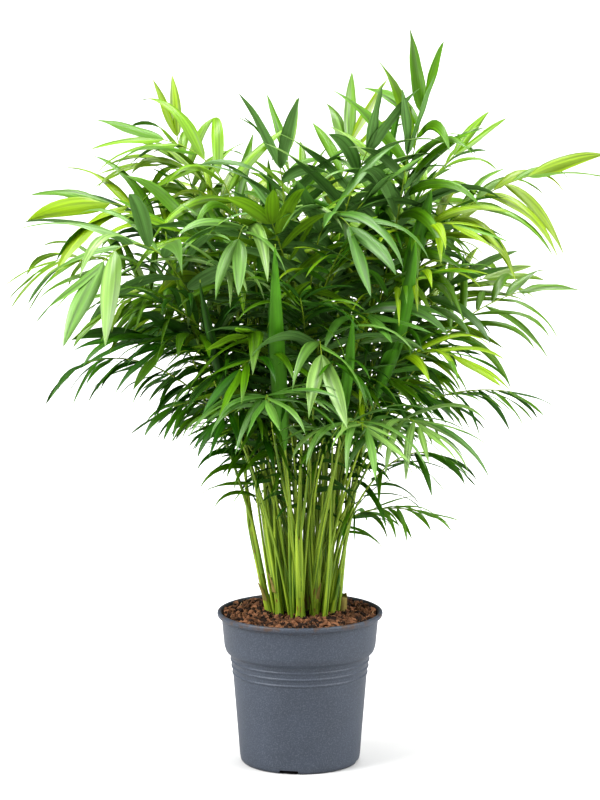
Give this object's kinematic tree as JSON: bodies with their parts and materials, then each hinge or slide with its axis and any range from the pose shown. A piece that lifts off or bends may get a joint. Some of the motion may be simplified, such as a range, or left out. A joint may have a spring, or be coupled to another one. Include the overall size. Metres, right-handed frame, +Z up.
{
  "type": "potted parlour palm",
  "caption": "Bushy clump of slender green palm canes with arching feathery fronds, growing in a round tapered nursery pot filled with soil.",
  "frame": {"origin": "centre of the pot's flat underside", "axes": "+Z up along the pot's axis, -Y towards the viewer, +X to the right"},
  "size_m": [0.7578, 0.6767, 0.9202],
  "materials": {
    "pot_plastic": "matte",
    "potting_soil": "matte",
    "cane_green": "satin",
    "leaf_deep": "satin",
    "leaf_mid": "satin",
    "leaf_bright": "satin",
    "leaf_pale": "satin"
  },
  "bodies": {
    "root": {"pot": "pot_plastic", "soil": "potting_soil", "cane_01": "cane_green", "cane_02": "cane_green", "cane_03": "cane_green", "cane_04": "cane_green", "cane_05": "cane_green", "cane_06": "cane_green", "cane_07": "cane_green", "cane_08": "cane_green", "cane_09": "cane_green", "cane_10": "cane_green", "cane_11": "cane_green", "cane_12": "cane_green", "cane_13": "cane_green", "cane_14": "cane_green", "cane_15": "cane_green", "frond_top_01": "leaf_mid", "frond_top_02": "leaf_pale", "frond_top_03": "leaf_pale", "frond_top_04": "leaf_pale", "frond_top_05": "leaf_mid", "frond_top_06": "leaf_bright", "frond_top_07": "leaf_mid", "frond_top_08": "leaf_mid", "frond_upper_01": "leaf_bright", "frond_upper_02": "leaf_mid", "frond_upper_03": "leaf_bright", "frond_upper_04": "leaf_mid", "frond_upper_05": "leaf_pale", "frond_upper_06": "leaf_pale", "frond_upper_07": "leaf_mid", "frond_upper_08": "leaf_bright", "frond_upper_09": "leaf_mid", "frond_upper_10": "leaf_bright", "frond_middle_01": "leaf_bright", "frond_middle_02": "leaf_pale", "frond_middle_03": "leaf_deep", "frond_middle_04": "leaf_bright", "frond_middle_05": "leaf_bright", "frond_middle_06": "leaf_mid", "frond_middle_07": "leaf_bright", "frond_middle_08": "leaf_pale", "frond_middle_09": "leaf_deep", "frond_middle_10": "leaf_bright", "frond_middle_11": "leaf_mid", "frond_middle_12": "leaf_bright", "frond_low_01": "leaf_pale", "frond_low_02": "leaf_pale", "frond_low_03": "leaf_pale", "frond_low_04": "leaf_deep", "frond_low_05": "leaf_deep", "frond_low_06": "leaf_deep", "frond_low_07": "leaf_mid", "frond_low_08": "leaf_mid", "frond_low_09": "leaf_deep", "frond_low_10": "leaf_mid", "frond_low_11": "leaf_deep", "frond_low_12": "leaf_deep", "frond_low_13": "leaf_mid"}
  },
  "joints": []
}
